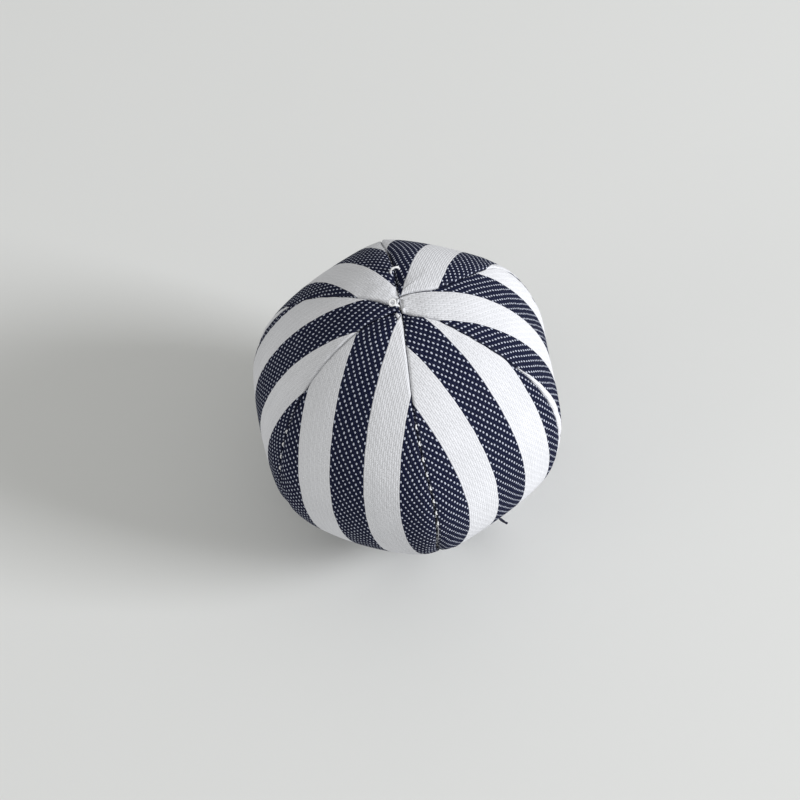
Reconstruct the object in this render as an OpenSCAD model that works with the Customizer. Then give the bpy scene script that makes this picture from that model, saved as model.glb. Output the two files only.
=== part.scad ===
// Juggling ball sewn from six pointed cloth panels round a loose filling.
// Millimetres. +Z is up, through both points where the panels' tips meet.
// The origin is the middle of the small flat patch that the ball rests on.

/* [Ball] */
// Width across two facing panels, at their middles
ball_d = 60; // [50:1:75]
// Radius of the curve across a panel, larger is flatter between its two seams
cross_r = 40; // [40:1:80]
// Width of the patch that the weight of the filling flattens underneath
rest_d = 20; // [14:1:26]

/* [Cloth] */
// Thickness of the striped twill
cloth_t = 0.7; // [0.4:0.1:1]
// Depth of the seam allowance that is turned inwards along every seam
allowance = 6; // [4:0.5:8]
// Radius of the small gap that is left where the six tips meet on top
tip_gap_r = 0.9; // [0.6:0.1:1.5]

/* [Sewing] */
// Diameter of the sewing thread
thread_d = 0.3; // [0.2:0.05:0.4]
// Length of one stitch along a seam, as an angle about the seam's centre
stitch_deg = 6; // [4:1:10]
// Depth of the stitch line under the fold of the cloth
stitch_depth = 1.1; // [1:0.1:2]
// Number of hand stitches that close the last seam, counted down from the top
hand_stitches = 10; // [6:1:12]

/* [Hidden] */

PANELS = 6;
wedge_deg = 360 / PANELS;
first_seam_deg = -90;              // the first seam faces the front
closing_seam = 4;                  // the seam that is left open for the filling
NEEDLE = 1;                        // the side of a seam that each thread lies on
BOBBIN = -1;

ball_r = ball_d / 2;
centre_z = sqrt(pow(ball_r, 2) - pow(rest_d / 2, 2));
top_z = centre_z + ball_r;
reach = ball_d;                    // longer than any way across the ball

// Where a seam's ridge stands at the widest level, from the barrel of the panel beside it
half_tan = tan(wedge_deg / 2);
flat_r = cross_r - ball_r;
ridge_x = (-flat_r + sqrt(pow(flat_r, 2)
    + (1 + pow(half_tan, 2)) * (pow(cross_r, 2) - pow(flat_r, 2)))) / (1 + pow(half_tan, 2));
ridge_r = ridge_x / cos(wedge_deg / 2);

// The stitch line is one arc in the seam's plane, through both tips and the ridge,
// and then a straight line over the flattened patch
stitch_ridge = ridge_r - stitch_depth;
stitch_tip = ball_r - stitch_depth;
arc_x = (pow(stitch_ridge, 2) - pow(stitch_tip, 2)) / (2 * stitch_ridge);
arc_r = stitch_ridge - arc_x;
thread_r = thread_d / 2;
thread_y = cloth_t + thread_r;     // the thread lies on the inner face of each allowance
through_r = 0.8 * thread_r;        // the thread is pulled thin where it goes through the cloth
patch_z = cloth_t + thread_r + 0.6;
arc_low = -asin((centre_z - patch_z) / arc_r);
arc_end_x = arc_x + arc_r * cos(arc_low);
tip_end = 3.2;                     // no allowance or stitch comes nearer to the axis

// Where the thread goes through the cloth, along the arc and over the patch
stitch_low = arc_low + stitch_deg / 2;
arc_steps = floor((90 - asin(tip_end / arc_r) - stitch_low) / stitch_deg);
stitch_high = stitch_low + arc_steps * stitch_deg;
hand_low = stitch_high - hand_stitches * stitch_deg;
machine_high = hand_low - stitch_deg;
patch_pitch = 3;
patch_stitches = [for (x = [arc_end_x - patch_pitch : -patch_pitch : tip_end + 1]) x];
tail_deg = 1.5;                    // thread that runs on past its last stitch
tail = 0.8;

knot_r = 0.75;
loop_r = 0.7;
fill_gap = 0.05;                   // between the filling and the cloth or thread round it

// One panel's surface is a barrel lying on its side: round over the top, flatter across
module barrel(inset) {
    rotate([90, 0, 0])
        rotate_extrude($fn = 128)
            intersection() {
                translate([-flat_r, 0]) circle(r = cross_r - inset, $fn = 128);
                translate([0, -reach / 2]) square([reach, reach]);
            }
}

// A panel's share of the ball, from the axis out to inset under the surface
module gore_body(inset) {
    intersection() {
        translate([0, 0, centre_z]) barrel(inset);
        translate([0, 0, inset])
            linear_extrude(2 * reach)
                polygon([[0, 0], [reach, -reach * half_tan], [reach, reach * half_tan]]);
    }
}

// Turns its children from a seam's own plane (X outwards, Z up) to one edge of a panel
module at_edge(side) {
    rotate([0, 0, side * wedge_deg / 2]) children();
}

// Turns its children so that X points out along a seam
module at_seam(number) {
    rotate([0, 0, first_seam_deg + (number - 1) * wedge_deg]) children();
}

// The two strips of cloth along a panel's edges that are turned inwards
module allowance_strips() {
    difference() {
        for (side = [-1, 1])
            at_edge(side)
                translate([0, side > 0 ? -cloth_t : 0, 0]) cube([reach, cloth_t, 2 * reach]);
        gore_body(cloth_t + allowance);
        cylinder(h = 2 * reach, r = tip_end, $fn = 48);
    }
}

// The short thread ends that go from one face of a seam to its middle, between two angles
module arc_crossings(side, low, high) {
    for (angle = [low : stitch_deg : high + stitch_deg / 4])
        translate([arc_x + arc_r * cos(angle), 0, centre_z + arc_r * sin(angle)])
            rotate([-90 * side, 0, 0]) cylinder(h = thread_y, r = through_r, $fn = 16);
}

// The same along the flattened patch
module patch_crossings(side) {
    for (x = patch_stitches)
        translate([x, 0, patch_z])
            rotate([-90 * side, 0, 0]) cylinder(h = thread_y, r = through_r, $fn = 16);
}

// Thread lying along one face of a seam, between two angles of the stitch line
module arc_run(side, low, high) {
    translate([arc_x, side * thread_y, centre_z])
        rotate([90, 0, 0])
            rotate([0, 0, low])
                rotate_extrude(angle = high - low, $fn = 96)
                    translate([arc_r, 0]) circle(r = thread_r, $fn = 16);
}

// The same thread over the flattened patch, with the bend where it meets the arc
module patch_run(side) {
    translate([tip_end + tail / 4, side * thread_y, patch_z])
        rotate([0, 90, 0])
            cylinder(h = arc_end_x - tip_end - tail / 4, r = thread_r, $fn = 16);
    translate([arc_end_x, side * thread_y, patch_z]) sphere(r = 1.2 * thread_r, $fn = 16);
}

module panel(number) {
    color("midnightblue")
        at_seam(number) rotate([0, 0, wedge_deg / 2])
            difference() {
                gore_body(0);
                difference() {
                    gore_body(cloth_t);
                    allowance_strips();
                }
                translate([0, 0, centre_z]) cylinder(h = reach, r = tip_gap_r, $fn = 32);
                for (side = [-1, 1])
                    at_edge(side) {
                        arc_crossings(-side, stitch_low, stitch_high);
                        patch_crossings(-side);
                    }
            }
}

// Machine lockstitch: each thread lies on its own face, and they lock inside the cloth
module lock_thread(number, side) {
    high = number == closing_seam ? machine_high : stitch_high;
    color(side == NEEDLE ? "ivory" : "whitesmoke")
        at_seam(number) {
            arc_crossings(side, stitch_low, high);
            patch_crossings(side);
            arc_run(side, arc_low, high + tail_deg);
            patch_run(side);
        }
}

// Ladder stitch by hand: one thread that steps from one face of the seam to the other
module closing_thread() {
    color("white")
        at_seam(closing_seam) {
            for (side = [-1, 1]) arc_crossings(side, hand_low, stitch_high);
            for (step = [0 : hand_stitches - 1])
                arc_run(
                    step % 2 == 0 ? 1 : -1,
                    hand_low + step * stitch_deg - 0.5,
                    hand_low + (step + 1) * stitch_deg + 0.5
                );
        }
}

// A ring of thread, lying flat
module thread_ring(radius) {
    rotate_extrude($fn = 48) translate([radius, 0]) circle(r = thread_r, $fn = 16);
}

// The knot that ends the closing thread, in the gap between the tips, with its small loop
module top_knot() {
    color("white")
        translate([0, 0, top_z - knot_r]) {
            sphere(r = knot_r, $fn = 32);
            translate([-knot_r - loop_r / 2, 0, knot_r + thread_r / 3])
                rotate([0, 12, 0]) thread_ring(loop_r);
        }
}

// The tack that holds the six tips together inside, over the flattened patch
module bottom_knot() {
    color("ivory")
        translate([0, 0, cloth_t + knot_r]) {
            sphere(r = knot_r, $fn = 32);
            thread_ring(knot_r + thread_r / 2);
        }
}

// A ball cut flat underneath, at inset under the surface of the cloth
module flat_ball(inset) {
    intersection() {
        translate([0, 0, centre_z]) sphere(r = ball_r - inset, $fn = 128);
        translate([-reach, -reach, inset]) cube(2 * reach);
    }
}

// One solid of the size of the loose filling, with room for the allowances and threads
module filling() {
    slot_w = 2 * (thread_y + thread_r + fill_gap);
    color("tan")
        difference() {
            flat_ball(cloth_t + fill_gap);
            difference() {
                for (number = [1 : PANELS])
                    at_seam(number)
                        translate([0, -slot_w / 2, -reach]) cube([reach, slot_w, 3 * reach]);
                flat_ball(cloth_t + allowance + fill_gap);
            }
        }
}

panel(1);  // panel_1
panel(2);  // panel_2
panel(3);  // panel_3
panel(4);  // panel_4
panel(5);  // panel_5
panel(6);  // panel_6
lock_thread(1, NEEDLE);  // needle_thread_1
lock_thread(2, NEEDLE);  // needle_thread_2
lock_thread(3, NEEDLE);  // needle_thread_3
lock_thread(4, NEEDLE);  // needle_thread_4
lock_thread(5, NEEDLE);  // needle_thread_5
lock_thread(6, NEEDLE);  // needle_thread_6
lock_thread(1, BOBBIN);  // bobbin_thread_1
lock_thread(2, BOBBIN);  // bobbin_thread_2
lock_thread(3, BOBBIN);  // bobbin_thread_3
lock_thread(4, BOBBIN);  // bobbin_thread_4
lock_thread(5, BOBBIN);  // bobbin_thread_5
lock_thread(6, BOBBIN);  // bobbin_thread_6
closing_thread();
top_knot();
bottom_knot();
filling();
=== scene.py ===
"""A soft juggling ball: six pointed panels of striped twill, sewn round a loose filling.

Everything is in metres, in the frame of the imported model: the ball rests on z = 0 with the
closed ends of its panels on the Z axis, and the first seam faces -Y.
"""

import logging
import math
from dataclasses import dataclass, field
from enum import Enum

import bmesh
import bpy
import numpy as np
from mathutils import Matrix, Vector
from mathutils.kdtree import KDTree


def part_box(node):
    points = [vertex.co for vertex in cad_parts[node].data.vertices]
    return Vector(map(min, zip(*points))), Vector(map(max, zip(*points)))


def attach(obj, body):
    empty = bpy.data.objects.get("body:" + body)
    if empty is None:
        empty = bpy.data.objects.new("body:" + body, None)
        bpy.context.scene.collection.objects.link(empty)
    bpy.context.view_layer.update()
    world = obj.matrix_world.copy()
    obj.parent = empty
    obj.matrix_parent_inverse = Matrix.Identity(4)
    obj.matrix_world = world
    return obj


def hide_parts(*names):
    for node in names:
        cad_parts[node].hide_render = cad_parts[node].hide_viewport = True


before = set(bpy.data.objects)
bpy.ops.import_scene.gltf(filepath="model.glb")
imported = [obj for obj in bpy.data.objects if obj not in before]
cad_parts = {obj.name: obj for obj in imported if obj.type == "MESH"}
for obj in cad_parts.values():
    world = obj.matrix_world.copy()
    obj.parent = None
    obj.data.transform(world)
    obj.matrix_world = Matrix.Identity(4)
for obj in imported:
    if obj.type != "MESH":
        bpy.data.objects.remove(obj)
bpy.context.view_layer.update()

logging.basicConfig(level=logging.INFO, format="%(name)s: %(message)s")
LOG = logging.getLogger("juggling_ball")

MM = 0.001
PANELS = 6
WEDGE = 2 * math.pi / PANELS
FIRST_SEAM = -math.pi / 2
SUNK_MIDDLE = 0.96  # the distance of a panel's middle from the axis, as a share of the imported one
RAISED_SEAM = 1.0065  # the same for a seam
BOW_LENGTH = 30 * MM  # how far along a panel its bow reaches its full size
HAND_CLOSED = {3: 1, 4: -1}  # the panels beside the seam closed by hand, and on which side it is
GAPING = {1: (38.0, 86.0), 6: (60.0, 82.0)}  # seams whose thread shows, and from and to which fall
BODY = "root"
Feed = bpy.types.NodeSocket | float | tuple  # what a node's input can be given


class Slot(Enum):
    """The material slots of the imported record."""

    TWILL = "striped_twill"
    MACHINE_THREAD = "machine_thread"
    HAND_THREAD = "hand_thread"
    PELLETS = "filling_pellets"


class SeamSide(Enum):
    """The face of a seam that a lockstitch thread lies on."""

    NEEDLE = 1
    BOBBIN = -1


def mm(*values: float) -> tuple[float, ...]:
    """Turns millimetres into metres."""
    return tuple(value * MM for value in values)


def scaled(colour: tuple, share: float) -> tuple:
    """Returns a colour made darker or lighter."""
    return tuple(share * c for c in colour[:3]) + (1,)


def smooth_step(low: float, high: float, value: np.ndarray) -> np.ndarray:
    """Eases from 0 at low to 1 at high.

    Args:
        low: Where the result is still 0.
        high: Where the result reaches 1.
        value: The values to ease.

    Returns:
        Numbers from 0 to 1, of the same shape as value.
    """
    share = np.clip((value - low) / (high - low), 0.0, 1.0)
    return share * share * (3.0 - 2.0 * share)


def unit(vectors: np.ndarray) -> np.ndarray:
    """Returns vectors at a length of one, along the last axis."""
    length = np.linalg.norm(vectors, axis=-1, keepdims=True)
    return vectors / np.maximum(length, 1e-12)


def catmull_rom(count: int, at: np.ndarray) -> np.ndarray:
    """Weights that read a row of samples smoothly at any place along it.

    Args:
        count: How many samples the row has.
        at: Places along the row, from 0 to count - 1.

    Returns:
        A matrix of len(at) by count, whose rows sum to one.
    """
    weights = np.zeros((len(at), count))
    base = np.clip(np.floor(at).astype(int), 0, count - 2)
    t = at - base
    basis = (
        -0.5 * t + t**2 - 0.5 * t**3,
        1.0 - 2.5 * t**2 + 1.5 * t**3,
        0.5 * t + 2.0 * t**2 - 1.5 * t**3,
        -0.5 * t**2 + 0.5 * t**3,
    )
    for step, weight in enumerate(basis):
        column = np.clip(base + step - 1, 0, count - 1)
        np.add.at(weights, (np.arange(len(at)), column), weight)
    return weights


def add_to_scene(name: str, data: bpy.types.ID) -> bpy.types.Object:
    """Makes an object and puts it in the scene."""
    made = bpy.data.objects.new(name, data)
    bpy.context.scene.collection.objects.link(made)
    return made


def add_mesh(bm: bmesh.types.BMesh, extra: bmesh.types.BMesh) -> None:
    """Adds a bmesh to another, and frees it."""
    part = bpy.data.meshes.new("part")
    extra.to_mesh(part)
    extra.free()
    bm.from_mesh(part)
    bpy.data.meshes.remove(part)


def finish_piece(
    name: str, bm: bmesh.types.BMesh, material: bpy.types.Material
) -> bpy.types.Object:
    """Turns a bmesh into a smooth-shaded object at the origin.

    Args:
        name: The piece's name.
        bm: The mesh, in place, in metres. It is freed.
        material: The piece's only material.

    Returns:
        The new object.
    """
    mesh = bpy.data.meshes.new(name)
    bm.to_mesh(mesh)
    bm.free()
    mesh.polygons.foreach_set("use_smooth", [True] * len(mesh.polygons))
    mesh.materials.append(material)
    return add_to_scene(name, mesh)


def placed_grid(rows: int, columns: int, places: np.ndarray) -> bmesh.types.BMesh:
    """A sheet of quads whose vertices are moved to given places.

    Args:
        rows: The number of vertices along the sheet.
        columns: The number of vertices across the sheet.
        places: An array of rows by columns by 3, in metres.

    Returns:
        The sheet, whose vertices run across first and then along.
    """
    bm = bmesh.new()
    bmesh.ops.create_grid(bm, x_segments=columns - 1, y_segments=rows - 1, size=1.0)
    bm.verts.ensure_lookup_table()
    for vert, place in zip(bm.verts, places.reshape(-1, 3)):
        vert.co = place
    return bm


@dataclass(frozen=True)
class BallForm:
    """The ball's driving sizes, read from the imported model, and the shape that follows from them.

    A panel's surface is a barrel lying on its side. It is round from tip to tip and flatter
    from seam to seam, so the seams stand a little proud of the panels' middles. The cloth of
    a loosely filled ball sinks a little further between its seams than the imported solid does.
    """

    middle_r: float
    ridge_r: float
    centre_z: float

    @classmethod
    def from_frame(cls) -> "BallForm":
        """Reads the sizes from the boxes of two panels and lets the middles sink."""
        packed_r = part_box("panel_2")[1].x
        low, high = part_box("panel_1")
        patch_r = math.sqrt(packed_r**2 - (high.z - packed_r) ** 2)
        middle_r = SUNK_MIDDLE * packed_r
        centre_z = math.sqrt(middle_r**2 - patch_r**2)
        return cls(middle_r=middle_r, ridge_r=RAISED_SEAM * -low.y, centre_z=centre_z)

    @property
    def cross_r(self) -> float:
        """The radius of the curve across a panel."""
        x = self.ridge_r * math.cos(WEDGE / 2)
        y = self.ridge_r * math.sin(WEDGE / 2)
        drop = self.middle_r - x
        return (drop**2 + y**2) / (2 * drop)

    def seam_lateral(self, rise: np.ndarray) -> np.ndarray:
        """How far a panel's seams lie from its middle.

        Args:
            rise: Angles above the widest level, in radians.

        Returns:
            Distances across the panel, in metres.
        """
        inset = self.cross_r - self.middle_r
        slope = np.maximum(np.cos(rise), 0.0) * math.tan(WEDGE / 2)
        square = self.cross_r**2 * (1 + slope**2) - (slope * inset) ** 2
        return slope * (np.sqrt(square) - inset) / (1 + slope**2)

    def surface(self, panel: int, rise: np.ndarray, lateral: np.ndarray) -> np.ndarray:
        """Points of one panel's barrel, about the ball's centre.

        Args:
            panel: The panel's number, from 1.
            rise: Angles above the widest level.
            lateral: Distances across the panel from its middle.

        Returns:
            Points, with three coordinates along the last axis.
        """
        out = np.sqrt(self.cross_r**2 - lateral**2) - (self.cross_r - self.middle_r)
        return from_panel(panel, out * np.cos(rise), lateral, out * np.sin(rise))

    def cloth_place(self, panel: int, points: np.ndarray) -> np.ndarray:
        """Where points of a panel lie on its flat cloth, across and along, in metres."""
        angle = middle_angle(panel)
        out = points[..., 0] * math.cos(angle) + points[..., 1] * math.sin(angle)
        side = points[..., 1] * math.cos(angle) - points[..., 0] * math.sin(angle)
        across = self.cross_r * np.arcsin(np.clip(side / self.cross_r, -1, 1))
        along = self.middle_r * np.arctan2(points[..., 2], out)
        return np.stack([across, along], -1)


def seam_angle(seam: int) -> float:
    """The direction of a seam about the ball's axis, in radians. Seams count from 1."""
    return FIRST_SEAM + (seam - 1) * WEDGE


def middle_angle(panel: int) -> float:
    """The direction of a panel's middle about the ball's axis, in radians."""
    return seam_angle(panel) + WEDGE / 2


def from_panel(panel: int, out: np.ndarray, side: np.ndarray, up: np.ndarray) -> np.ndarray:
    """Turns a panel's own coordinates (outwards, sideways, up) into the ball's."""
    angle = middle_angle(panel)
    x = out * math.cos(angle) - side * math.sin(angle)
    y = out * math.sin(angle) + side * math.cos(angle)
    return np.stack([x, y, np.broadcast_to(up, x.shape)], -1)


@dataclass(frozen=True)
class SeamHand:
    """How one hand-guided seam strays from a true meridian.

    The sways are sideways distances that follow the first, second and further waves from tip
    to tip. Proud is how far the panel before the seam, and then the panel after it, stands
    out past the even form. End is where the seam stops beside the axis on top.
    """

    sway: tuple[float, ...]
    proud: tuple[float, float]
    end: tuple[float, float]


@dataclass(frozen=True)
class PanelCut:
    """How one panel was cut from the striped cloth, and how full it is.

    Offset is where the middle of a navy stripe crosses the panel's middle, tilt is the slant
    of the grain, bow bends it, and crown is how far the panel's middle stands out or in.
    """

    offset: float
    tilt: float
    bow: float
    crown: float

    @classmethod
    def measured(cls, offset: float, tilt: float, bow: float, crown: float) -> "PanelCut":
        """Makes a cut from millimetres, with its tilt in degrees."""
        return cls(offset * MM, math.radians(tilt), bow * MM, crown * MM)


SEAMS = (
    SeamHand(mm(2.0, -1.6, 0.8, -0.8, 0.4, 0.1), proud=mm(0.2, 0.3), end=mm(0.2, -2.2)),
    SeamHand(mm(0.6, 0.2, 0.0, -0.7, 0.1), proud=mm(-0.3, -0.3), end=mm(0.25, -1.8)),
    SeamHand(mm(0.0, 1.1, 0.3, -1.2, -0.5), proud=mm(0.5, 0.5), end=mm(0.0, 2.0)),
    SeamHand(mm(-0.3, 0.4, 0.8, -0.2, -0.6), proud=mm(0.8, 0.5), end=mm(-0.1, 2.2)),
    SeamHand(mm(1.0, 1.4, -0.6, -1.2, 1.1), proud=mm(-0.6, -0.5), end=mm(-0.2, -0.4)),
    SeamHand(mm(1.1, -0.8, -0.4, -0.1, 0.0), proud=mm(0.0, 0.0), end=mm(-0.1, -1.0)),
)

CUTS = (
    PanelCut.measured(2.2, 0.0, -2.1, 0.0),
    PanelCut.measured(3.9, 6.1, -1.5, -1.3),
    PanelCut.measured(7.3, 4.1, -3.15, 0.4),
    PanelCut.measured(-0.4, -10.9, 1.65, -0.8),
    PanelCut.measured(1.2, -0.6, 0.0, -0.35),
    PanelCut.measured(1.65, -7.2, 0.8, 0.9),
)


@dataclass(frozen=True)
class TwillWeave:
    """A two-over-one twill with navy and white stripes of equal width in its warp."""

    end_pitch: float = 0.41 * MM
    pick_pitch: float = 0.69 * MM
    ends_per_stripe: int = 16

    @property
    def stripe(self) -> float:
        """The width of one stripe."""
        return self.end_pitch * self.ends_per_stripe


class Graph:
    """A short way to write a material's node tree as expressions."""

    def __init__(self, name: str) -> None:
        """Makes an empty material with a Principled shader."""
        self.material = bpy.data.materials.new(name)
        self.material.use_nodes = True
        self.tree = self.material.node_tree
        self.shader = self.tree.nodes["Principled BSDF"]

    def node(self, kind: str, inputs: dict | None = None, **settings: object) -> bpy.types.Node:
        """Adds a node.

        Args:
            kind: The node's type name.
            inputs: Values or sockets for its inputs, by name or number.
            settings: The node's own properties.

        Returns:
            The node.
        """
        made = self.tree.nodes.new(kind)
        for name, value in settings.items():
            setattr(made, name, value)
        for key, value in (inputs or {}).items():
            if isinstance(value, bpy.types.NodeSocket):
                self.tree.links.new(value, made.inputs[key])
            else:
                made.inputs[key].default_value = value
        return made

    def math(self, operation: str, *values: Feed) -> bpy.types.NodeSocket:
        """A Math node on one to three values or sockets."""
        return self.node("ShaderNodeMath", dict(enumerate(values)), operation=operation).outputs[0]

    def mix(self, share: Feed, low: Feed, high: Feed) -> bpy.types.NodeSocket:
        """Mixes two colours or colour sockets."""
        made = self.node(
            "ShaderNodeMix", {0: share, 6: low, 7: high}, data_type="RGBA", clamp_factor=True
        )
        return made.outputs[2]

    def ease(
        self, value: Feed, low: float, high: float, start: float = 0.0, end: float = 1.0
    ) -> bpy.types.NodeSocket:
        """Eases a value from start at low to end at high."""
        return self.node(
            "ShaderNodeMapRange",
            {0: value, 1: low, 2: high, 3: start, 4: end},
            interpolation_type="SMOOTHSTEP",
        ).outputs[0]

    def noise(
        self, vector: Feed, scale: float, detail: float = 2.0, roughness: float = 0.5
    ) -> bpy.types.NodeSocket:
        """A noise texture's value."""
        return self.node(
            "ShaderNodeTexNoise",
            {"Vector": vector, "Scale": scale, "Detail": detail, "Roughness": roughness},
        ).outputs[0]

    def place(self) -> bpy.types.NodeSocket:
        """Each point's place on the object, in metres."""
        return self.node("ShaderNodeTexCoord").outputs["Object"]

    def bump(self, strength: float, distance: float, height: Feed) -> bpy.types.NodeSocket:
        """A relief for the shader's normal."""
        inputs = {"Strength": strength, "Distance": distance, "Height": height}
        return self.node("ShaderNodeBump", inputs).outputs[0]

    def paint(self, **values: Feed) -> bpy.types.Material:
        """Sets the shader's sockets, named with _ for a space, and returns the material."""
        for name, value in values.items():
            socket = self.shader.inputs[name.replace("_", " ")]
            if isinstance(value, bpy.types.NodeSocket):
                self.tree.links.new(value, socket)
            else:
                socket.default_value = value
        return self.material


@dataclass(frozen=True)
class StripedTwill:
    """The finish of the cover: every yarn of the weave, in its own colour and relief, with painted
    shade in the gaps between the yarns and a painted highlight on the navy yarns' crowns.
    """

    weave: TwillWeave = TwillWeave()
    navy: tuple = (0.0026, 0.0044, 0.021, 1)
    white: tuple = (0.665, 0.67, 0.70, 1)
    # Painted shade: the white weft, painted darker and bluer where it shows among navy ends
    shaded_weft: tuple = (0.48, 0.51, 0.60, 1)
    relief: float = 0.16 * MM
    weft_wide: float = 0.47
    weft_long: float = 0.40

    def material(self) -> bpy.types.Material:
        """Builds the material.

        Returns:
            The twill, which reads the UV map "cloth" in metres of flat cloth.
        """
        g = Graph("striped_twill")
        uv = g.node("ShaderNodeUVMap", uv_map="cloth").outputs[0]
        scale = (1 / self.weave.end_pitch, 1 / self.weave.pick_pitch, 1)
        yarns = g.node("ShaderNodeMapping", {0: uv, 3: scale}).outputs[0]
        split = g.node("ShaderNodeSeparateXYZ", {0: yarns})
        # Yarns that aren't quite straight, and picks that aren't quite level
        drift = g.noise(uv, 260.0, 1.0)
        shiver = g.noise(uv, 900.0, 1.0)
        ends = g.math("ADD", split.outputs[0], g.ease(drift, 0.2, 0.8, -0.16, 0.16))
        picks = g.math("ADD", split.outputs[1], g.ease(shiver, 0.2, 0.8, -0.14, 0.14))
        end = g.math("FLOOR", ends)
        pick = g.math("FLOOR", picks)
        across = g.math("SUBTRACT", ends, end)
        along = g.math("SUBTRACT", picks, pick)
        phase = g.math("FLOORED_MODULO", g.math("ADD", end, pick), 3.0)
        weft_up = g.math("LESS_THAN", phase, 0.5)
        period = 2.0 * self.weave.ends_per_stripe
        shifted = g.math("ADD", end, self.weave.ends_per_stripe / 2)
        in_navy = g.math(
            "LESS_THAN", g.math("FLOORED_MODULO", shifted, period), self.weave.ends_per_stripe - 0.5
        )
        # The weft shows as an oval where it crosses over one end
        from_side = g.math("DIVIDE", g.math("SUBTRACT", across, 0.5), self.weft_wide)
        from_top = g.math("DIVIDE", g.math("SUBTRACT", along, 0.5), self.weft_long)
        oval = g.math("ADD", g.math("POWER", g.math("ABSOLUTE", from_side), 2.0),
                      g.math("POWER", g.math("ABSOLUTE", from_top), 2.0))
        dot = g.math("MULTIPLY", weft_up, g.ease(oval, 0.95, 0.45))
        # A warp float is a long low hump over two picks
        side_curve = g.math("SINE", g.math("MULTIPLY", across, math.pi))
        run = g.math("DIVIDE", g.math("ADD", g.math("SUBTRACT", phase, 1.0), along), 2.0)
        end_curve = g.math("SINE", g.math("MULTIPLY", g.math("MAXIMUM", run, 0.0), math.pi))
        float_up = g.math("MULTIPLY", g.math("POWER", side_curve, 0.6),
                          g.math("ADD", 0.45, g.math("MULTIPLY", end_curve, 0.55)))
        warp_up = g.math("MULTIPLY", float_up, g.math("SUBTRACT", 1.0, weft_up))
        dome = g.math("MULTIPLY", dot, g.math("SUBTRACT", 0.95, g.math("MULTIPLY", oval, 0.35)))
        height = g.math("MAXIMUM", warp_up, dome)
        # Fibres, the tone that each yarn took in the dye, and painted light: each yarn is painted
        # lighter on its crown and darker in the gaps beside it, and the weft is painted in shade
        # among the navy ends
        place = g.place()
        fibre = g.noise(place, 9000.0, 3.0, 0.6)
        yarn_shade = g.node("ShaderNodeTexWhiteNoise", {"W": end}, noise_dimensions="1D").outputs[0]
        blotch = g.noise(place, 90.0, 3.0, 0.6)
        # Painted highlight and shade: the navy is painted lighter where a yarn stands high, and
        # stays at its dark colour in the gaps between yarns
        lit = g.math("MULTIPLY", g.math("MULTIPLY", height, fibre), 0.8)
        navy = g.mix(lit, self.navy, scaled(self.navy, 2.0))
        # Painted shade: the white is painted 5% darker where a yarn stands low, in the gaps between
        # yarns
        white = g.mix(g.ease(height, 0.05, 0.6), scaled(self.white, 0.95), self.white)
        warp = g.mix(in_navy, white, navy)
        # Painted shade: the white weft is painted darker and bluer where it crosses over a navy
        # stripe's ends
        weft = g.mix(in_navy, self.white, self.shaded_weft)
        cloth = g.mix(dot, warp, weft)
        shade = g.math(
            "ADD", g.ease(yarn_shade, 0.0, 1.0, -0.025, 0.025), g.ease(blotch, 0.3, 0.7, 0.95, 1.02)
        )
        colour = g.node("ShaderNodeHueSaturation", {"Value": shade, "Color": cloth}).outputs[0]
        # The dye is worn a little along the folds of the seams
        worn = g.node("ShaderNodeAttribute", attribute_name="fold").outputs["Fac"]
        rub = g.math("MULTIPLY", g.math("MULTIPLY", worn, g.ease(fibre, 0.45, 0.7)), 0.10)
        colour = g.mix(rub, colour, self.white)
        soft = g.math("SUBTRACT", 1.0, g.math("MULTIPLY", g.math("SUBTRACT", 1.0, in_navy), 0.5))
        relief = g.math("MULTIPLY", g.math("ADD", height, g.math("MULTIPLY", fibre, 0.25)), soft)
        return g.paint(
            Base_Color=colour, Roughness=0.9, Specular_IOR_Level=0.06,
            Normal=g.bump(0.8, self.relief, relief),
        )


@dataclass(frozen=True)
class SewingThread:
    """The finish of a spun sewing thread, whose twist is in its mesh."""

    name: str
    colour: tuple = (0.82, 0.83, 0.85, 1)

    def material(self) -> bpy.types.Material:
        """Builds the material, with fine fibres and a slight unevenness of colour."""
        g = Graph(self.name)
        place = g.place()
        fibre = g.noise(place, 12000.0, 3.0, 0.6)
        colour = g.mix(g.ease(fibre, 0.3, 0.7), scaled(self.colour, 0.72), self.colour)
        return g.paint(
            Base_Color=colour, Roughness=0.75, Specular_IOR_Level=0.3, Sheen_Weight=0.2,
            Normal=g.bump(0.5, 0.03 * MM, fibre),
        )


@dataclass(frozen=True)
class PelletPlastic:
    """The finish of the pellets: dull plastic that differs a little from pellet to pellet."""

    light: tuple = (0.74, 0.66, 0.50, 1)
    dark: tuple = (0.52, 0.43, 0.29, 1)

    def material(self) -> bpy.types.Material:
        """Builds the material."""
        g = Graph("filling_pellets")
        place = g.place()
        cell = g.node("ShaderNodeTexVoronoi", {"Vector": place, "Scale": 250.0}).outputs["Color"]
        tint = g.node("ShaderNodeSeparateColor", {0: cell}).outputs[0]
        grain = g.noise(place, 3000.0, 3.0)
        return g.paint(
            Base_Color=g.mix(tint, self.dark, self.light),
            Roughness=g.ease(grain, 0.3, 0.7, 0.4, 0.55),
            Normal=g.bump(0.3, 0.04 * MM, grain),
        )


@dataclass(frozen=True)
class PlainFloor:
    """The finish of the plain pale floor."""

    colour: tuple = (0.70, 0.705, 0.70, 1)

    def material(self) -> bpy.types.Material:
        """Builds the material."""
        g = Graph("plain_floor")
        place = g.place()
        cloud = g.noise(place, 20.0, 3.0)
        colour = g.mix(cloud, scaled(self.colour, 0.985), self.colour)
        return g.paint(Base_Color=colour, Roughness=0.9, Specular_IOR_Level=0.1)


def mirrored(half: np.ndarray, side: float = 1.0) -> np.ndarray:
    """Joins a half panel's columns to their mirror image, whose values are multiplied by side."""
    return np.hstack([side * half[:, ::-1], half[:, 1:]])


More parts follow.
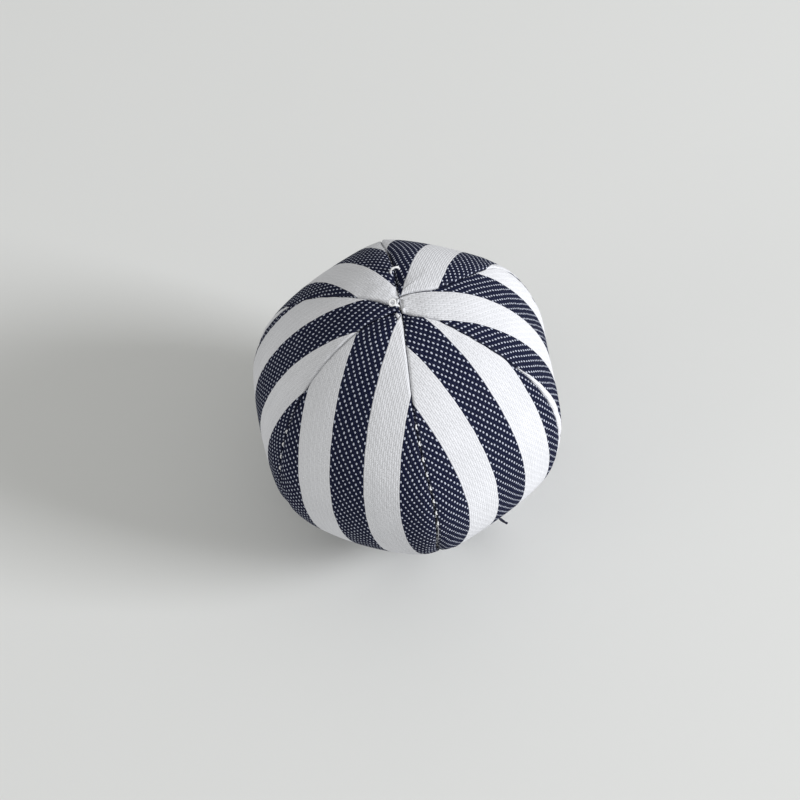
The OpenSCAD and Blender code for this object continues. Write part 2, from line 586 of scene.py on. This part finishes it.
@dataclass
class Cover:
    """The six sewn panels: one skin filled by cloth simulation, then cut and folded at its seams."""

    form: BallForm
    weave: TwillWeave
    cloth_t: float = 0.5 * MM
    allowance: float = 6.0 * MM
    fold_r: float = 0.62 * MM
    valley: float = 0.28 * MM
    valley_reach: float = 1.8 * MM
    pucker: float = 0.07 * MM
    pucker_reach: float = 1.1 * MM
    stitch: float = 3.0 * MM
    dimple: float = 0.7 * MM
    dimple_reach: float = 3.2 * MM
    tip_reach: float = 8.0 * MM
    tip_fold_r: float = 0.5 * MM
    rest_blend: float = 0.5 * MM
    rest_reach: float = 3.0 * MM
    narrow: float = 3.0 * MM
    seam_gap: float = 0.02 * MM
    sole: float = 0.16 * MM
    sole_reach: float = 9.0 * MM
    hollow: float = 1.0 * MM
    hollow_at: float = 5.6 * MM
    hollow_wide: float = 1.3 * MM
    hollow_long: float = 1.7 * MM
    loose_valley: float = 0.5 * MM
    loose_fades: tuple[float, float] = mm(20, 28)
    skin_rows: int = 72
    skin_columns: int = 17
    rows: int = 171
    sim_scale: float = 20.0
    sim_frames: int = 16
    sim_pressure: float = 1.2
    sim_limit: float = 0.6 * MM
    swell: np.ndarray | None = field(default=None, repr=False)

    def seam_turn(self, seam: int, rise: np.ndarray) -> np.ndarray:
        """How far a seam strays sideways about the axis at each rise, in radians."""
        fall = math.pi / 2 - rise
        waves = sum(s * np.sin((k + 1) * fall) for k, s in enumerate(SEAMS[seam].sway))
        calm = 1.0 - smooth_step(math.radians(122), math.radians(162), fall)
        level = np.maximum(np.sin(fall), 0.05) * self.form.middle_r
        return waves * calm / level

    def skin(self, panel: int, rise: np.ndarray, share: np.ndarray) -> np.ndarray:
        """The cover's even surface before it is filled.

        Args:
            panel: The panel's number, from 1.
            rise: Angles above the widest level.
            share: Places across the panel, from -1 at its first seam to 1 at its second.

        Returns:
            Points about the ball's centre, before the patch underneath is flattened.
        """
        points = self.form.surface(panel, rise, share * self.form.seam_lateral(rise))
        first, second = panel - 1, panel % PANELS
        blend = (share + 1) / 2
        turn = (1 - blend) * self.seam_turn(first, rise) + blend * self.seam_turn(second, rise)
        cos, sin = np.cos(turn), np.sin(turn)
        x = points[..., 0] * cos - points[..., 1] * sin
        y = points[..., 0] * sin + points[..., 1] * cos
        out = (1 - blend) * SEAMS[first].proud[1] + blend * SEAMS[second].proud[0]
        out = out * share**2 + CUTS[panel - 1].crown * (1 - share**2)
        grow = 1 + out * np.cos(rise) / self.form.middle_r
        near_top = 1 - smooth_step(0, self.tip_reach, (math.pi / 2 - rise) * self.form.middle_r)
        ends = [SEAMS[first].end, SEAMS[second].end]
        x = x * grow + near_top * ((1 - blend) * ends[0][0] + blend * ends[1][0])
        y = y * grow + near_top * ((1 - blend) * ends[0][1] + blend * ends[1][1])
        return np.stack([x, y, points[..., 2]], -1)

    def settle(self, points: np.ndarray) -> np.ndarray:
        """Moves points from the ball's centre to the frame and flattens the patch underneath."""
        placed = points + np.array([0, 0, self.form.centre_z])
        z, soft = placed[..., 2], self.rest_blend
        placed[..., 2] = np.where(z > soft, z, np.where(z < -soft, 0, (z + soft) ** 2 / (4 * soft)))
        return placed

    def cloth_uv(self, panel: int, points: np.ndarray, extra: np.ndarray) -> np.ndarray:
        """Where points lie on the striped cloth.

        Args:
            panel: The panel's number, from 1.
            points: Points of the even surface, about the ball's centre.
            extra: Cloth that lies past each point, turned in at the seam, in metres.

        Returns:
            Places across and along the cloth, with a navy stripe's middle at 0 across.
        """
        cut = CUTS[panel - 1]
        flat = self.form.cloth_place(panel, points)
        across, along = flat[..., 0] + extra, flat[..., 1]
        grain = cut.offset + math.tan(cut.tilt) * along + cut.bow * (along / BOW_LENGTH) ** 2
        return np.stack([across - grain, along], -1)

    def fill(self) -> None:
        """Swells the skin by cloth simulation and keeps how far each point moved."""
        rise = np.linspace(-math.pi / 2, math.pi / 2, self.skin_rows)[:, None]
        share = np.linspace(-1, 1, self.skin_columns)[None, :]
        starts = np.stack([self.settle(self.skin(p, rise, share)) for p in range(1, PANELS + 1)])
        self.swell = np.zeros_like(starts)
        bm = bmesh.new()
        for start in starts:
            add_mesh(bm, placed_grid(self.skin_rows, self.skin_columns, start * self.sim_scale))
        bmesh.ops.remove_doubles(bm, verts=bm.verts, dist=0.05 * MM * self.sim_scale)
        bmesh.ops.recalc_face_normals(bm, faces=bm.faces)
        mesh = bpy.data.meshes.new("filled_skin")
        bm.to_mesh(mesh)
        bm.free()
        skin = add_to_scene("filled_skin", mesh)
        before = np.array([v.co for v in mesh.vertices])
        self._hold(skin, before)
        self._simulate(skin)
        graph = bpy.context.evaluated_depsgraph_get()
        after = np.array([v.co for v in skin.evaluated_get(graph).data.vertices])
        moved = (after - before) / self.sim_scale
        length = np.linalg.norm(moved, axis=1, keepdims=True)
        moved *= self.sim_limit / (self.sim_limit + length)
        LOG.info("filled skin: moved %.2f mm at most, %.2f mm on average",
                 length.max() / MM, length.mean() / MM)
        tree = KDTree(len(before))
        for number, place in enumerate(before):
            tree.insert(place, number)
        tree.balance()
        flat = starts.reshape(-1, 3) * self.sim_scale
        found = [tree.find(place)[1] for place in flat]
        self.swell = moved[found].reshape(starts.shape)
        bpy.data.objects.remove(skin)

    def _hold(self, skin: bpy.types.Object, places: np.ndarray) -> None:
        """Adds the vertex groups that hold the tips and the patch, and that draw the seams in."""
        pinned = skin.vertex_groups.new(name="held")
        sewn = skin.vertex_groups.new(name="sewn")
        angles = np.arctan2(places[:, 1], places[:, 0])
        reach = np.hypot(places[:, 0], places[:, 1]) / self.sim_scale
        rise = np.arcsin(np.clip((places[:, 2] / self.sim_scale - self.form.centre_z)
                                 / self.form.middle_r, -1, 1))
        for seam in range(PANELS):
            aim = seam_angle(seam + 1) + self.seam_turn(seam, rise)
            off = np.abs((angles - aim + math.pi) % (2 * math.pi) - math.pi) * reach
            sewn.add([int(i) for i in np.flatnonzero(off < 0.3 * MM)], 1.0, "REPLACE")
        low = places[:, 2] / self.sim_scale < 0.3 * MM
        tips = reach < 1.2 * MM
        pinned.add([int(i) for i in np.flatnonzero(low | tips)], 1.0, "REPLACE")

    def _simulate(self, skin: bpy.types.Object) -> None:
        """Runs the cloth simulation on the skin."""
        cloth = skin.modifiers.new("filling", "CLOTH")
        s = cloth.settings
        s.quality = 6
        s.mass = 0.3
        s.tension_stiffness = 25
        s.compression_stiffness = 25
        s.shear_stiffness = 8
        s.bending_stiffness = 1.5
        s.air_damping = 2
        s.use_pressure = True
        s.uniform_pressure_force = self.sim_pressure
        s.vertex_group_mass = "held"
        s.vertex_group_shrink = "sewn"
        s.shrink_min = -0.012
        s.shrink_max = 0.05
        s.effector_weights.gravity = 0
        cloth.point_cache.frame_end = self.sim_frames
        scene = bpy.context.scene
        for step in range(1, self.sim_frames + 1):
            scene.frame_set(step)

    def columns(self, half: np.ndarray) -> tuple[np.ndarray, ...]:
        """The columns of one half of a panel, from its middle to the end of its allowance.

        Args:
            half: The panel's half width at each row.

        Returns:
            Four arrays of rows by columns: distance from the seam, depth under the surface,
            cloth past the surface point, and how far the cloth has turned, from 0 to 1.
        """
        radius = np.minimum(self.fold_r, 0.42 * half)[:, None]
        spread = np.linspace(0, 1, 23)[None, :] ** 1.35
        flat = radius + (half[:, None] - radius) * spread[:, ::-1]
        turn = np.linspace(0, math.pi / 2, 8)[None, 1:]
        bend_off = radius * (1 - np.sin(turn))
        bend_deep = radius * (1 - np.cos(turn))
        bend_extra = radius * (turn - np.sin(turn))
        deep = np.minimum(self.allowance, 0.55 * half)[:, None] * np.array([[0.08, 0.3, 0.65, 1.0]])
        none = np.zeros_like(flat)
        off = np.hstack([flat, bend_off, np.zeros_like(deep)]) + self.seam_gap
        depth = np.hstack([none, bend_deep, radius + deep])
        extra = np.hstack([none, bend_extra, radius * (math.pi / 2 - 1) + deep])
        turned = np.broadcast_to(turn / (math.pi / 2), bend_off.shape)
        bent = np.hstack([none, turned, np.ones_like(deep)])
        return off, depth, extra, bent

    def panel(self, panel: int, material: bpy.types.Material) -> bpy.types.Object:
        """Builds one panel with its edges folded inwards.

        Args:
            panel: The panel's number, from 1.
            material: The twill.

        Returns:
            The panel, which rests on the filling.
        """
        rise, tip_deep, tip_extra = self.lengths()
        ends = self.skin(panel, rise[:, None], np.array([[-1.0, 1.0]]))
        half = np.linalg.norm(ends[:, 1] - ends[:, 0], axis=-1) / 2
        off, depth, extra, bent = self.columns(half)
        share = mirrored(1 - off / half[:, None], -1.0)
        off, depth, extra, bent = (mirrored(part) for part in (off, depth, extra, bent))
        extra = extra * np.sign(share)
        rows = rise[:, None]
        even = self.skin(panel, rows, share)
        placed = self.settle(even) + self._swelled(panel, rise, share)
        normal = self._normals(placed, tip_deep)
        inward = self._seam_normals(panel, rise, share)
        normal = unit(normal * (1 - bent[..., None]) + inward * bent[..., None])
        lift = self._undulation(panel, rows, share, off, half[:, None])
        rest = smooth_step(0.0, self.rest_reach, placed[..., 2])
        placed = placed - normal * (depth + lift * rest)[..., None]
        near_axis = np.hypot(placed[..., 0], placed[..., 1]) < self.sole_reach
        sole = np.where(near_axis & (rows < 0), self.sole, 0.0)
        placed[..., 2] = np.maximum(placed[..., 2] - tip_deep[:, None], sole)
        bm = placed_grid(*share.shape, placed)
        flat = self.cloth_uv(panel, even, extra)
        flat[..., 1] += tip_extra[:, None]
        self._write_cloth(bm, flat, bent)
        piece = finish_piece(f"cover_panel_{panel}", bm, material)
        self._thicken(piece, half)
        self._declare(piece, panel)
        return piece

    def lengths(self) -> tuple[np.ndarray, ...]:
        """The rows of a panel, from its tip underneath to the end that is tucked in on top.

        Returns:
            For each row, its angle above the widest level, its depth under the tip, and the
            cloth that lies past the surface point.
        """
        radius = self.tip_fold_r
        turn = np.linspace(math.pi / 2, 0, 6)
        bend = math.pi / 2 - radius * (1 - np.sin(turn)) / self.form.middle_r
        main = np.linspace(-math.pi / 2 + 0.0015, bend[-1], self.rows)[:-1]
        tucked = np.array([0.4, 1.0]) * MM
        rise = np.concatenate([main, bend[::-1], np.full(2, math.pi / 2)])
        deep = np.concatenate([0 * main, radius * (1 - np.cos(turn))[::-1], radius + tucked])
        extra = np.concatenate([0 * main, radius * (turn - np.sin(turn))[::-1],
                                radius * (math.pi / 2 - 1) + tucked])
        return rise, deep, extra

    def _swelled(self, panel: int, rise: np.ndarray, share: np.ndarray) -> np.ndarray:
        """The simulated movement at the places of a finer sheet."""
        swell = self.swell[panel - 1]
        row_at = (rise / math.pi + 0.5) * (self.skin_rows - 1)
        coarse = np.einsum("rs,scd->rcd", catmull_rom(self.skin_rows, row_at), swell)
        at = (np.clip(share, -1, 1) + 1) / 2 * (self.skin_columns - 1)
        moved = np.empty(share.shape + (3,))
        for row in range(len(rise)):
            moved[row] = catmull_rom(self.skin_columns, at[row]) @ coarse[row]
        return moved

    def seam_swell(self, seam: int, rise: np.ndarray) -> np.ndarray:
        """The simulated movement along a seam, which counts from 1."""
        return self._swelled(seam, rise, np.full((len(rise), 1), -1.0))[:, 0]

    def _normals(self, placed: np.ndarray, tip_deep: np.ndarray) -> np.ndarray:
        """Outward normals of a sheet of points, which point straight up over the tucked end."""
        along = np.gradient(placed, axis=0)
        across = np.gradient(placed, axis=1)
        normal = np.cross(across, along)
        outward = placed - np.array([0, 0, self.form.centre_z])
        flip = np.sign((normal * outward).sum(-1, keepdims=True))
        weak = np.linalg.norm(normal, axis=-1, keepdims=True) < 1e-14
        normal = np.where(weak, unit(outward), unit(normal * flip))
        normal[tip_deep > 0] = (0.0, 0.0, 1.0)
        return normal

    def _seam_normals(self, panel: int, rise: np.ndarray, share: np.ndarray) -> np.ndarray:
        """Directions out of the ball in the plane of the nearer seam."""
        normals = np.empty(share.shape + (3,))
        for seam, near in ((panel - 1, share <= 0), (panel % PANELS, share > 0)):
            angle = seam_angle(seam + 1) + self.seam_turn(seam, rise)
            level = np.cos(rise)
            out = np.stack([level * np.cos(angle), level * np.sin(angle), np.sin(rise)], -1)
            normals[near] = np.broadcast_to(out[:, None, :], normals.shape)[near]
        return normals

    def _undulation(self, panel: int, rows: np.ndarray, share: np.ndarray, off: np.ndarray,
                    half: np.ndarray) -> np.ndarray:
        """How far the cloth is drawn in near its seams and its tips."""
        along = rows * self.form.middle_r
        near = np.exp(-off / self.valley_reach)
        drawn = self.valley * near
        beat = 2 * math.pi * along / self.stitch + 1.3 * panel
        stitches = np.sin(beat + 2.0 * np.sin(along / (7 * MM)))
        puckers = self.pucker * stitches * np.exp(-off / self.pucker_reach)
        drawn = drawn + puckers * smooth_step(0, self.narrow, half)
        top = (math.pi / 2 - rows) * self.form.middle_r
        drawn = drawn + self.dimple * np.exp(-((top / self.dimple_reach) ** 2))
        if panel in HAND_CLOSED:
            beside = off + (share * HAND_CLOSED[panel] < 0) * 1.0
            loose = 1 - smooth_step(*self.loose_fades, top)
            drawn = drawn + self.loose_valley * loose * np.exp(-beside / self.valley_reach)
            below = (top - self.hollow_at) / self.hollow_long
            drawn = drawn + self.hollow * np.exp(-((beside / self.hollow_wide) ** 2 + below**2))
        return drawn

    def _write_cloth(self, bm: bmesh.types.BMesh, flat: np.ndarray, bent: np.ndarray) -> None:
        """Writes each vertex's place on the cloth and its closeness to the fold."""
        layer = bm.loops.layers.uv.new("cloth")
        fold = bm.verts.layers.float.new("fold")
        places = flat.reshape(-1, 2)
        bends = bent.reshape(-1)
        bm.verts.index_update()
        for vert in bm.verts:
            vert[fold] = float(math.sin(math.pi * min(bends[vert.index] + 0.15, 1.0)))
        for face in bm.faces:
            for loop in face.loops:
                loop[layer].uv = places[loop.vert.index]

    def _thicken(self, piece: bpy.types.Object, half: np.ndarray) -> None:
        """Gives the sheet its thickness, inwards, thinner towards the crowded tips."""
        group = piece.vertex_groups.new(name="cloth_thickness")
        columns = len(piece.data.vertices) // len(half)
        for row in range(len(half)):
            weight = float(np.clip(half[row] / self.narrow, 0.1, 1.0))
            group.add(list(range(row * columns, (row + 1) * columns)), weight, "REPLACE")
        solid = piece.modifiers.new("thickness", "SOLIDIFY")
        solid.thickness = self.cloth_t
        solid.offset = -1
        solid.vertex_group = group.name
        solid.use_rim = True

    def _declare(self, piece: bpy.types.Object, panel: int) -> None:
        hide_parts(f"panel_{panel}")
        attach(piece, BODY)

    def build(self, material: bpy.types.Material) -> list[bpy.types.Object]:
        """Fills the skin and builds the six panels."""
        self.fill()
        return [self.panel(number, material) for number in range(1, PANELS + 1)]


@dataclass
class ThreadTube:
    """A two-ply thread swept along a path, with its twist modelled."""

    thread_r: float = 0.15 * MM
    sides: int = 8
    twist_pitch: float = 0.9 * MM
    lobe: float = 0.22

    def mesh(self, path: np.ndarray, ring_gap: float, closed: bool = False) -> bmesh.types.BMesh:
        """Sweeps the thread.

        Args:
            path: Points along the thread, in metres.
            ring_gap: The distance between two rings of the mesh.
            closed: Whether the thread's end joins its start.

        Returns:
            The thread's closed mesh.
        """
        line = self._even(path, ring_gap, closed)
        tangent = unit(np.gradient(line, axis=0))
        normal = self._carried(tangent)
        binormal = np.cross(tangent, normal)
        turn = np.linspace(0, 2 * math.pi, self.sides + 1)[None, :]
        run = np.arange(len(line))[:, None] * ring_gap
        lobes = 1 + self.lobe * np.cos(2 * (turn - math.pi * run / self.twist_pitch))
        radius = self.thread_r * lobes
        if not closed:
            ends = np.minimum(run, run[-1] - run) / self.thread_r
            radius = radius * np.sqrt(np.clip(ends + 0.15, 0, 1))
        round_ = (normal[:, None, :] * np.cos(turn)[..., None]
                  + binormal[:, None, :] * np.sin(turn)[..., None])
        rings = line[:, None, :] + radius[..., None] * round_
        bm = placed_grid(len(line), self.sides + 1, rings)
        bmesh.ops.remove_doubles(bm, verts=bm.verts, dist=1e-7)
        edges = [e for e in bm.edges if e.is_boundary]
        if edges:
            bmesh.ops.holes_fill(bm, edges=edges, sides=self.sides)
        bmesh.ops.recalc_face_normals(bm, faces=bm.faces)
        return bm

    def _even(self, path: np.ndarray, gap: float, closed: bool) -> np.ndarray:
        """The path as evenly spaced points."""
        if closed:
            path = np.vstack([path, path[:1]])
        along = np.concatenate([[0], np.cumsum(np.linalg.norm(np.diff(path, axis=0), axis=1))])
        count = max(4, int(round(along[-1] / gap)) + 1)
        at = np.linspace(0, along[-1], count)
        return np.stack([np.interp(at, along, path[:, k]) for k in range(3)], -1)

    def _carried(self, tangent: np.ndarray) -> np.ndarray:
        """Normals carried along the path without turning about it."""
        start = np.array([0.0, 0.0, 1.0]) if abs(tangent[0, 2]) < 0.9 else np.array([1.0, 0, 0])
        normals = np.empty_like(tangent)
        current = start
        for number, direction in enumerate(tangent):
            current = unit(current - direction * float(current @ direction))
            normals[number] = current
        return normals


@dataclass
class Stitching:
    """Every thread of the ball, from its seams to both knots, and the stray end of yarn."""

    form: BallForm
    cover: Cover
    closing_seam: int = 4
    stitch_depth: float = 1.1 * MM
    shown_depth: float = 0.38 * MM
    face: float = 0.72 * MM
    stitch: float = 3.0 * MM
    above_floor: float = 0.9 * MM
    first_fall: float = math.radians(10.0)
    closed_fall: float = math.radians(56.0)
    last_fall: float = math.radians(172.0)

    def seam_path(
        self, seam: int, fall: np.ndarray, depth: np.ndarray, side: np.ndarray
    ) -> np.ndarray:
        """Points along a seam.

        Args:
            seam: The seam's number, from 1.
            fall: Angles down from the top tip, in radians.
            depth: How deep the points lie under the seam's ridge.
            side: How far they lie to the side of the seam.

        Returns:
            Points in the frame.
        """
        rise = math.pi / 2 - fall
        ridge = self.cover.skin(seam, rise, np.full_like(rise, -1.0))
        out = unit(ridge)
        angle = seam_angle(seam) + self.cover.seam_turn(seam - 1, rise)
        beside = np.stack([-np.sin(angle), np.cos(angle), np.zeros_like(angle)], -1)
        moved = ridge - out * depth[..., None] + beside * side[..., None]
        moved = moved + np.array([0, 0, self.form.centre_z]) + self.cover.seam_swell(seam, rise)
        moved[:, 2] = np.maximum(moved[:, 2], self.cover.cloth_t + self.above_floor)
        return moved

    def lock_thread(
        self, seam: int, side: SeamSide, material: bpy.types.Material
    ) -> bpy.types.Object:
        """One thread of a lockstitched seam, which dips into the cloth at every stitch."""
        first = self.closed_fall if seam == self.closing_seam else self.first_fall
        fall = np.linspace(first, self.last_fall, 900)
        run = (fall - fall[0]) * self.form.middle_r
        beat = np.abs(np.cos(math.pi * run / self.stitch)) ** 10
        shown = self._shown(seam, side, fall, run)
        away = side.value * self.face * (1 - beat) * (1 - shown)
        depth = self.stitch_depth - (self.stitch_depth - self.shown_depth) * shown
        path = self.seam_path(seam, fall, depth, away)
        name = f"{side.name.lower()}_thread_{seam}"
        piece = finish_piece(f"seam_{name}", ThreadTube().mesh(path, 0.2 * MM), material)
        return self._ride(piece, name)

    def _shown(self, seam: int, side: SeamSide, fall: np.ndarray, run: np.ndarray) -> np.ndarray:
        """Where a thread comes up between the folds of a seam that gapes, from 0 to 1."""
        if side is not SeamSide.NEEDLE or seam not in GAPING:
            return 0 * run
        low, high = (math.radians(angle) for angle in GAPING[seam])
        middle = np.abs((run / self.stitch) % 1.0 - 0.5)
        return np.exp(-((middle / 0.17) ** 4)) * (fall > low) * (fall < high)

    def closing_thread(self, material: bpy.types.Material) -> bpy.types.Object:
        """The ladder stitches that close the last seam, with one loose stitch near the top."""
        steps = 17
        fall = np.linspace(math.radians(6.0), math.radians(54.0), steps * 24)
        beat = np.linspace(0, steps, fall.size)
        side = -self.face * np.clip(1.6 * np.cos(math.pi * beat), -1, 1)
        crossing = np.exp(-(((beat % 1.0) - 0.5) / 0.16) ** 2)
        loose = np.exp(-(((beat - 3.5) / 0.28) ** 4))
        side = side * (1 + 0.25 * loose)
        below = fall * self.form.middle_r - self.cover.hollow_at
        hollow = self.cover.hollow * np.exp(-(below / (2.5 * MM)) ** 2)
        depth = self.stitch_depth - (0.3 * MM) * crossing + self.cover.loose_valley + hollow
        depth = depth * (1 - loose) - (0.12 * MM + 0.1 * MM * crossing) * loose
        path = self.seam_path(self.closing_seam, fall, depth, side)
        tube = ThreadTube(thread_r=0.2 * MM)
        piece = finish_piece("hand_closing_thread", tube.mesh(path, 0.1 * MM), material)
        return self._ride(piece, "closing_thread")

    def _trefoil(self, tall: float, size: float, height: float) -> np.ndarray:
        """The path of an overhand knot on the axis, pulled into a ring.

        Args:
            tall: How far it rises and falls, as a share of its size.
            size: Its size, in millimetres.
            height: The height of its middle, in metres.

        Returns:
            Points along the knot, whose last joins its first.
        """
        t = np.linspace(0, 2 * math.pi, 180, endpoint=False)
        x = np.sin(t) + 2 * np.sin(2 * t)
        y = np.cos(t) - 2 * np.cos(2 * t)
        knot = np.stack([x, y, -tall * np.sin(3 * t)], -1)
        return knot * size * MM + np.array([0, 0, height])

    def top_knot(self, material: bpy.types.Material) -> bpy.types.Object:
        """The knot between the tips, with the small loop that stands out of it."""
        top = self.form.centre_z + self.form.middle_r
        knot = self._trefoil(1.2, 0.2, top - 1.9 * MM)
        bm = ThreadTube(thread_r=0.16 * MM).mesh(knot, 0.1 * MM, closed=True)
        u = np.linspace(math.radians(-40), math.radians(310), 60)
        loop = np.stack([
            -1.25 * MM + 0.55 * MM * np.cos(u),
            0.15 * MM + 0.46 * MM * np.sin(u),
            top - 0.35 * MM + 0.34 * MM * np.sin(u),
        ], -1)
        ends = np.array([[-0.15 * MM, -0.1 * MM, top - 1.3 * MM]])
        loop = np.vstack([ends, loop, ends + np.array([[0.2 * MM, -0.2 * MM, 0]])])
        add_mesh(bm, ThreadTube(thread_r=0.19 * MM).mesh(loop, 0.1 * MM))
        piece = finish_piece("crown_knot", bm, material)
        return self._ride(piece, "top_knot")

    def bottom_knot(self, material: bpy.types.Material) -> bpy.types.Object:
        """The tack that gathers the tips inside the rest patch."""
        bm = ThreadTube().mesh(self._trefoil(1.0, 0.24, 1.25 * MM), 0.12 * MM, closed=True)
        piece = finish_piece("base_tack", bm, material)
        return self._ride(piece, "bottom_knot")

    def stray_yarn(self, material: bpy.types.Material) -> bpy.types.Object:
        """A short end of navy yarn that hangs out low on the front right."""
        path = np.array([
            (13.4, -20.6, 14.2), (13.8, -21.1, 13.4), (14.4, -21.4, 12.8), (15.0, -21.8, 12.4),
            (15.6, -22.3, 12.4),
        ]) * MM
        tube = ThreadTube(thread_r=0.24 * MM, twist_pitch=1.4 * MM)
        piece = finish_piece("stray_yarn", tube.mesh(path, 0.12 * MM), material)
        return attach(piece, BODY)

    def _ride(self, piece: bpy.types.Object, node: str) -> bpy.types.Object:
        """Puts a thread on the ball in place of its CAD piece."""
        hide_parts(node)
        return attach(piece, BODY)

    def build(self, machine: bpy.types.Material, hand: bpy.types.Material) -> list[bpy.types.Object]:
        """Builds every thread and knot."""
        made = [
            self.lock_thread(seam, side, machine)
            for seam in range(1, PANELS + 1)
            for side in SeamSide
        ]
        return made + [self.closing_thread(hand), self.top_knot(hand), self.bottom_knot(machine)]


@dataclass
class Filling:
    """The loose pellets inside the cover."""

    form: BallForm
    pellet_r: float = 1.75 * MM
    pitch: float = 3.75 * MM
    clear_skin: float = 2.3 * MM
    clear_seam: float = 2.9 * MM
    seam_deep: float = 9.0 * MM
    looseness: float = 0.48
    bulge: float = 0.2
    seed: int = 7

    def spots(self) -> np.ndarray:
        """Pellet centres: a close stacking that has been shaken a little."""
        count = int(self.form.ridge_r / self.pitch) + 2
        steps = np.arange(-count, count + 1)
        i, j, k = np.meshgrid(steps, steps, np.arange(-count - 4, count + 5), indexing="ij")
        x = (i + 0.5 * (j % 2) + 0.5 * (k % 2)) * self.pitch
        y = (j * math.sqrt(0.75) + 0.5 * (k % 2) / math.sqrt(3)) * self.pitch
        z = k * self.pitch * math.sqrt(2 / 3)
        spots = np.stack([x, y, z], -1).reshape(-1, 3)
        shake = np.random.default_rng(self.seed).uniform(-1, 1, spots.shape)
        spots = spots + shake * self.looseness * (self.pitch - 2 * self.pellet_r)
        reach = np.linalg.norm(spots, axis=1)
        inside = reach < self.form.middle_r - self.clear_skin - self.pellet_r * self.bulge
        above = spots[:, 2] + self.form.centre_z > self.clear_skin
        angle = np.arctan2(spots[:, 1], spots[:, 0]) - FIRST_SEAM
        off = np.abs((angle + WEDGE / 2) % WEDGE - WEDGE / 2)
        level = np.hypot(spots[:, 0], spots[:, 1])
        deep = self.form.middle_r - reach > self.seam_deep
        low = spots[:, 2] + self.form.centre_z > self.seam_deep
        free = (level * np.sin(off) > self.clear_seam) | (deep & low)
        return spots[inside & above & free] + np.array([0, 0, self.form.centre_z])

    def build(self, material: bpy.types.Material) -> bpy.types.Object:
        """Builds the pellets as one piece of many small closed grains."""
        random = np.random.default_rng(self.seed + 1)
        bm = bmesh.new()
        spots = self.spots()
        for spot in spots:
            angle = random.uniform(0, math.pi)
            turn = Matrix.Rotation(angle, 4, Vector(random.normal(size=3)).normalized())
            squat = Matrix.Diagonal((1.0, 1.0, random.uniform(0.72, 0.95), 1.0))
            place = Matrix.Translation(Vector(spot)) @ turn @ squat
            bmesh.ops.create_icosphere(bm, subdivisions=1, radius=self.pellet_r, matrix=place)
        piece = finish_piece("pellets", bm, material)
        LOG.info("filling: %d pellets", len(spots))
        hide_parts("filling")
        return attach(piece, BODY)


@dataclass
class Studio:
    """The floor, the camera and the light, which aren't part of the ball."""

    form: BallForm
    azimuth: float = math.radians(-2.2)
    elevation: float = math.radians(54.2)
    roll: float = math.radians(-5.6)
    distance: float = 400 * MM
    lens: float = 94.7
    aim_right: float = -1.5 * MM
    aim_up: float = -0.95 * MM
    floor_size: float = 5.0
    room_colour: tuple = (1.0, 1.0, 0.97, 1)
    room_strength: float = 0.56

    def camera(self) -> bpy.types.Object:
        """Makes the scene's camera."""
        ca, sa = math.cos(self.azimuth), math.sin(self.azimuth)
        ce, se = math.cos(self.elevation), math.sin(self.elevation)
        back = Vector((sa * ce, -ca * ce, se))
        level = Vector((ca, sa, 0))
        up = back.cross(level)
        right = level * math.cos(self.roll) + up * math.sin(self.roll)
        up = up * math.cos(self.roll) - level * math.sin(self.roll)
        centre = Vector((0, 0, self.form.centre_z)) + right * self.aim_right + up * self.aim_up
        data = bpy.data.cameras.new("view")
        data.lens = self.lens
        data.sensor_width = 36
        data.clip_start = 0.01
        data.clip_end = 10
        camera = add_to_scene("view", data)
        turn = Matrix((right, up, back)).transposed().to_4x4()
        camera.matrix_world = Matrix.Translation(centre + back * self.distance) @ turn
        bpy.context.scene.camera = camera
        return camera

    def floor(self) -> bpy.types.Object:
        """Makes the plain floor."""
        bm = bmesh.new()
        bmesh.ops.create_grid(bm, x_segments=2, y_segments=2, size=self.floor_size / 2)
        floor = finish_piece("floor", bm, PlainFloor().material())
        return floor

    def light(self, name: str, place: tuple, size: float, power: float, colour: tuple) -> None:
        """Adds a square lamp that faces the ball."""
        data = bpy.data.lights.new(name, "AREA")
        data.shape = "SQUARE"
        data.size = size
        data.energy = power
        data.color = colour
        aim = Vector((0, 0, self.form.centre_z)) - Vector(place)
        turn = aim.to_track_quat("-Z", "Y").to_matrix().to_4x4()
        add_to_scene(name, data).matrix_world = Matrix.Translation(place) @ turn

    def build(self) -> None:
        """Makes the floor, the soft key on the right, a weak low fill and an even pale room."""
        self.floor()
        self.light("window", (1.30, -0.44, 0.62), 0.5, 24.0, (0.97, 0.98, 1.0))
        self.light("wall", (-1.25, -0.40, 0.22), 0.7, 3.5, (1.0, 1.0, 0.98))
        world = bpy.data.worlds.new("room")
        world.use_nodes = True
        background = world.node_tree.nodes["Background"]
        background.inputs[0].default_value = self.room_colour
        background.inputs[1].default_value = self.room_strength
        scene = bpy.context.scene
        scene.world = world
        scene.view_settings.view_transform = "Standard"
        scene.view_settings.look = "None"


def main() -> None:
    """Builds the ball, piece by piece, and the studio around it."""
    form = BallForm.from_frame()
    studio = Studio(form)
    studio.camera()
    twill = StripedTwill()
    cover = Cover(form, twill.weave)
    made = cover.build(twill.material())
    stitching = Stitching(form, cover)
    machine = SewingThread("machine_thread").material()
    hand = SewingThread("hand_thread", (0.84, 0.84, 0.85, 1)).material()
    made += stitching.build(machine, hand)
    navy_yarn = SewingThread("navy_yarn", (0.006, 0.008, 0.03, 1)).material()
    made.append(stitching.stray_yarn(navy_yarn))
    made.append(Filling(form).build(PelletPlastic().material()))
    studio.build()
    for piece in made:
        LOG.info("%s: %d vertices", piece.name, len(piece.data.vertices))
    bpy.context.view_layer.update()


if __name__ == "__main__":
    main()
